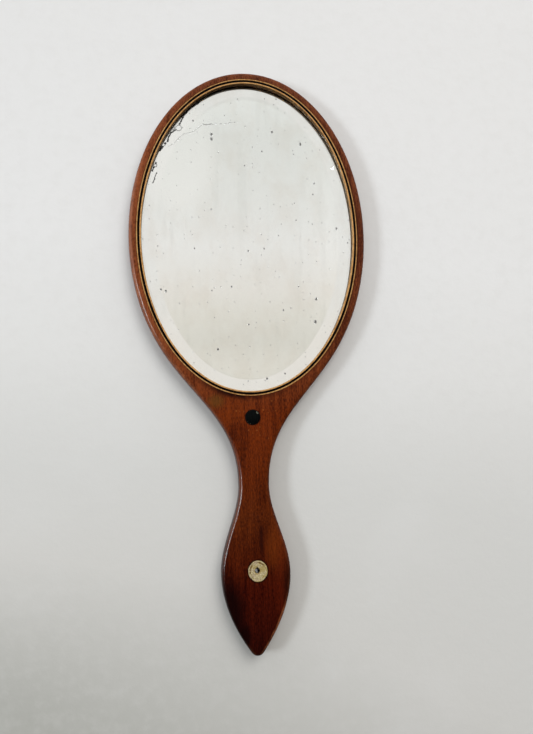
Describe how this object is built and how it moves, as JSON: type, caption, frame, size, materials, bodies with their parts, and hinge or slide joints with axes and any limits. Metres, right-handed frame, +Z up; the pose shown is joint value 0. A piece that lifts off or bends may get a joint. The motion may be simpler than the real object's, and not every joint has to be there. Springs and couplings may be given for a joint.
{
  "type": "hand mirror",
  "caption": "Oval hand mirror: wooden board with a leaf-shaped handle, inlaid strings round a bevelled glass, and a bone disc with a hanging hole.",
  "frame": {"origin": "bottom centre of the bounding box: the handle's tip, at half the board's thickness", "axes": "+Z runs up from the handle's tip to the top of the head; the mirror faces -Y, the back faces +Y; +X is to the right seen from the front"},
  "size_m": [0.1434, 0.011, 0.3498],
  "materials": {
    "mahogany": "worn satin wax polish over a lengthwise grain",
    "boxwood": "satin, yellowed, flush with the board",
    "ebony": "satin, near black",
    "bone": "satin, slightly yellowed",
    "mirror_glass": "polished plate glass with a ground and polished bevel",
    "silvering": "old mirror coat with small specks and dark patches near one edge",
    "backing_paper": "matt, aged",
    "felt": "matt wool felt",
    "panel_wood": "thin satin polish",
    "packing_card": "matt grey-brown card",
    "pin_brass": "tarnished"
  },
  "bodies": {
    "root": {"handle_frame": "mahogany", "outer_boxwood_string": "boxwood", "ebony_string": "ebony", "inner_boxwood_string": "boxwood", "ebony_dot": "ebony", "bone_disc": "bone", "mirror_glass": "mirror_glass", "silvering": "silvering", "backing_paper": "backing_paper", "felt_pad": "felt", "back_panel": "panel_wood", "packing_slip_1": "packing_card", "packing_slip_2": "packing_card", "packing_slip_3": "packing_card", "packing_slip_4": "packing_card", "packing_slip_5": "packing_card", "packing_slip_6": "packing_card", "panel_pin_1": "pin_brass", "panel_pin_2": "pin_brass", "panel_pin_3": "pin_brass", "panel_pin_4": "pin_brass", "panel_pin_5": "pin_brass", "panel_pin_6": "pin_brass", "panel_pin_7": "pin_brass", "panel_pin_8": "pin_brass"}
  },
  "joints": []
}
